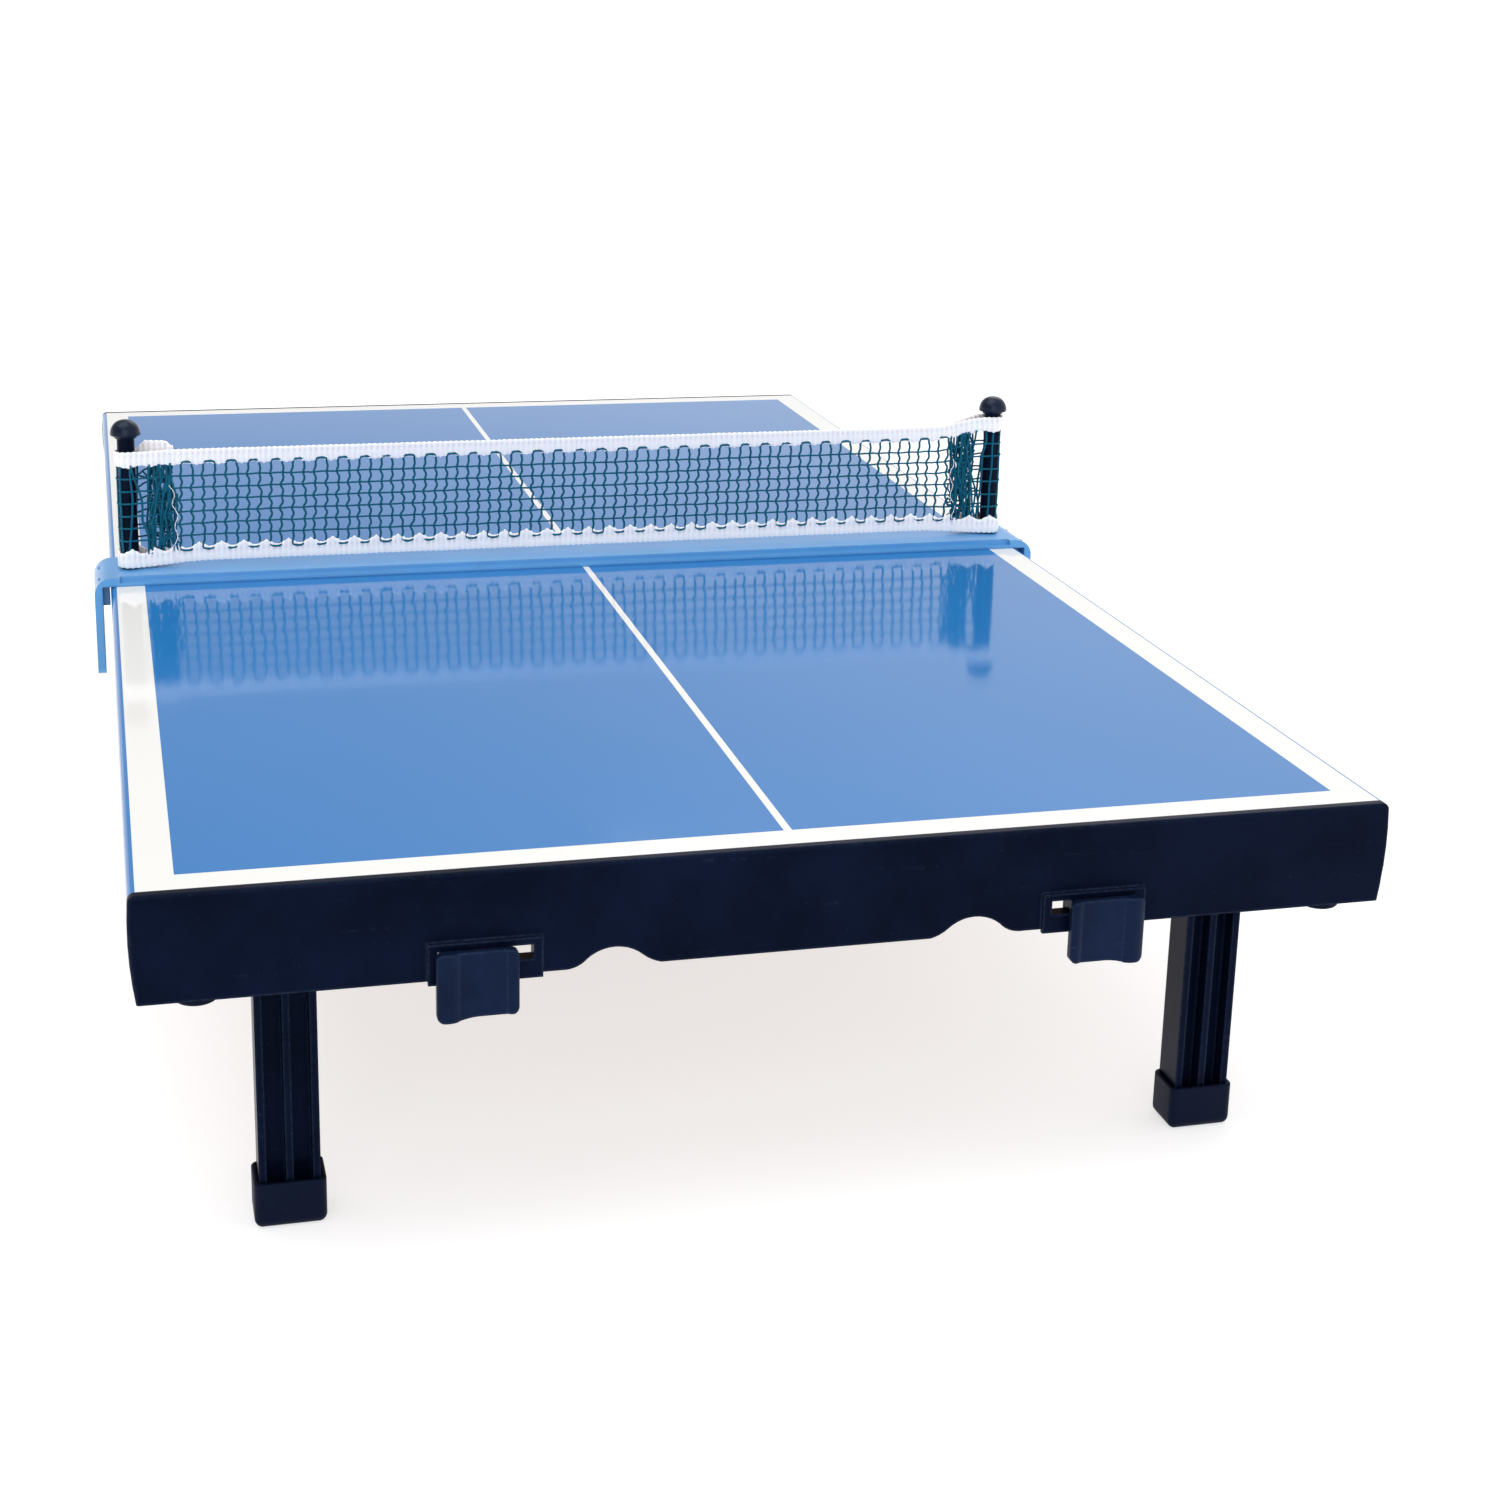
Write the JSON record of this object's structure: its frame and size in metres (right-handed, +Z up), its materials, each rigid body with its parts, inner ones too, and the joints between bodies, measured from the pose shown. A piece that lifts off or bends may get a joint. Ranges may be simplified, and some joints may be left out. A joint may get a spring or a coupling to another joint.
{
  "type": "folding mini table tennis table",
  "caption": "Tabletop table tennis table: a blue top in hinged halves on folding legs, with end rails, sliding case clips and a lift-off net on a saddle bar.",
  "frame": {"origin": "on the floor, at the middle of the unfolded table seen from above", "axes": "+Z up, +Y along the table from the end with the clips to the far end, +X across the table to the right when looking along +Y"},
  "size_m": [0.346, 0.6089, 0.161],
  "materials": {
    "table_top": "blue gloss lacquer on board, white lines",
    "rail_plastic": "satin moulded",
    "leg_plastic": "satin moulded",
    "clip_plastic": "satin moulded",
    "foot_rubber": "satin",
    "pad_rubber": "matte",
    "hinge_steel": "zinc plated",
    "pin_steel": "plain",
    "screw_steel": "zinc plated",
    "bar_plastic": "gloss",
    "post_plastic": "satin gloss",
    "net_thread": "knitted thread",
    "net_tape": "knitted white tape"
  },
  "bodies": {
    "near_half": {"near_board": "table_top", "near_end_rail": "rail_plastic", "near_seam_rail": "rail_plastic", "near_rail_screws": "screw_steel", "near_hinge_screws": "screw_steel", "near_bracket_screws": "screw_steel", "near_bumper_pads": "pad_rubber", "near_left_leg_bracket": "rail_plastic", "near_right_leg_bracket": "rail_plastic", "near_left_leg_pin": "pin_steel", "near_right_leg_pin": "pin_steel", "near_left_hinge_leaf": "hinge_steel", "near_right_hinge_leaf": "hinge_steel", "left_hinge_pin": "pin_steel", "right_hinge_pin": "pin_steel"},
    "far_half": {"far_board": "table_top", "far_end_rail": "rail_plastic", "far_seam_rail": "rail_plastic", "far_rail_screws": "screw_steel", "far_hinge_screws": "screw_steel", "far_bracket_screws": "screw_steel", "far_bumper_pads": "pad_rubber", "far_left_leg_bracket": "rail_plastic", "far_right_leg_bracket": "rail_plastic", "far_left_leg_pin": "pin_steel", "far_right_leg_pin": "pin_steel", "far_left_hinge_leaf": "hinge_steel", "far_right_hinge_leaf": "hinge_steel"},
    "near_left_leg_set": {"near_left_leg": "leg_plastic", "near_left_foot_cap": "foot_rubber"},
    "near_right_leg_set": {"near_right_leg": "leg_plastic", "near_right_foot_cap": "foot_rubber"},
    "far_left_leg_set": {"far_left_leg": "leg_plastic", "far_left_foot_cap": "foot_rubber"},
    "far_right_leg_set": {"far_right_leg": "leg_plastic", "far_right_foot_cap": "foot_rubber"},
    "left_clip_set": {"left_clip": "clip_plastic", "left_clip_keeper": "clip_plastic", "left_clip_screw": "screw_steel"},
    "right_clip_set": {"right_clip": "clip_plastic", "right_clip_keeper": "clip_plastic", "right_clip_screw": "screw_steel"},
    "net_set": {"net_bar": "bar_plastic", "left_net_post": "post_plastic", "right_net_post": "post_plastic", "left_post_cap": "post_plastic", "right_post_cap": "post_plastic", "net_bottom_tape": "net_tape", "net_mesh": "net_thread", "net_top_tape": "net_tape"}
  },
  "joints": [
    {"name": "table_fold", "type": "hinge", "parent": "near_half", "child": "far_half", "pos_m": [0, 0.00165, 0.0741], "axis": [-1, 0, 0], "range_deg": [0, 180]},
    {"name": "near_left_leg_fold", "type": "hinge", "parent": "near_half", "child": "near_left_leg_set", "pos_m": [-0.1294, -0.26915, 0.088], "axis": [1, 0, 0], "range_deg": [0, 90]},
    {"name": "near_right_leg_fold", "type": "hinge", "parent": "near_half", "child": "near_right_leg_set", "pos_m": [0.1294, -0.26915, 0.088], "axis": [1, 0, 0], "range_deg": [0, 90]},
    {"name": "far_left_leg_fold", "type": "hinge", "parent": "far_half", "child": "far_left_leg_set", "pos_m": [-0.1294, 0.27245, 0.088], "axis": [-1, 0, 0], "range_deg": [0, 90]},
    {"name": "far_right_leg_fold", "type": "hinge", "parent": "far_half", "child": "far_right_leg_set", "pos_m": [0.1294, 0.27245, 0.088], "axis": [-1, 0, 0], "range_deg": [0, 90]},
    {"name": "left_clip_slide", "type": "slide", "parent": "near_half", "child": "left_clip_set", "axis": [1, 0, 0], "range_m": [0, 0.005]},
    {"name": "right_clip_slide", "type": "slide", "parent": "near_half", "child": "right_clip_set", "axis": [-1, 0, 0], "range_m": [0, 0.005]},
    {"name": "net_lift", "type": "slide", "parent": "near_half", "child": "net_set", "axis": [0, 0, 1], "range_m": [0, 0.06]}
  ],
  "couplings": [
    {"joint": "near_left_leg_fold", "follows": "table_fold", "ratio": 0.5},
    {"joint": "near_right_leg_fold", "follows": "table_fold", "ratio": 0.5},
    {"joint": "far_left_leg_fold", "follows": "table_fold", "ratio": 0.5},
    {"joint": "far_right_leg_fold", "follows": "table_fold", "ratio": 0.5}
  ]
}
